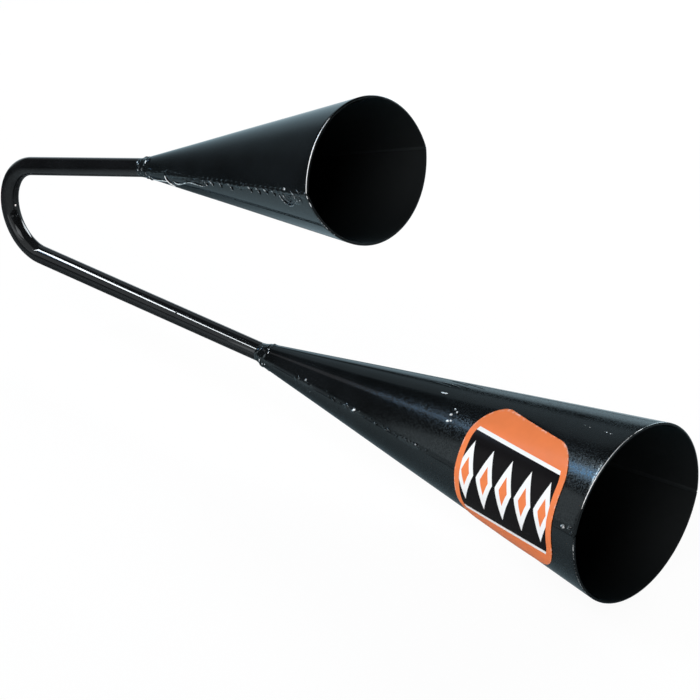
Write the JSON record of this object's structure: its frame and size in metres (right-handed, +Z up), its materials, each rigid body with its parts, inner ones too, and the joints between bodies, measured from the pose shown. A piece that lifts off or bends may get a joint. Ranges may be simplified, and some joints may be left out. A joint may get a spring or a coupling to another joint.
{
  "type": "agogo bell",
  "caption": "Agogo bell: a high and a low flared steel cone bell welded to the spreading arms of a U-bent rod handle, painted black, held in the hand and struck with a stick.",
  "frame": {"origin": "the middle of the long arm's straight run, on the rod's centreline", "axes": "+X along the long arm towards the large bell and the mouths, +Z up in the handle's plane towards the small bell, +Y square to that plane, away from the label"},
  "size_m": [0.4262, 0.0914, 0.191],
  "materials": {
    "handle_paint": "gloss",
    "bell_paint": "satin gloss",
    "weld_paint": "gloss",
    "label_vinyl": "gloss print"
  },
  "bodies": {
    "root": {"handle_rod": "handle_paint", "small_bell_outer_shell": "bell_paint", "small_bell_inner_shell": "bell_paint", "large_bell_outer_shell": "bell_paint", "large_bell_inner_shell": "bell_paint", "small_bell_near_seam_weld": "weld_paint", "small_bell_far_seam_weld": "weld_paint", "small_bell_neck_weld": "weld_paint", "large_bell_near_seam_weld": "weld_paint", "large_bell_far_seam_weld": "weld_paint", "large_bell_neck_weld": "weld_paint", "bell_label": "label_vinyl"}
  },
  "joints": []
}
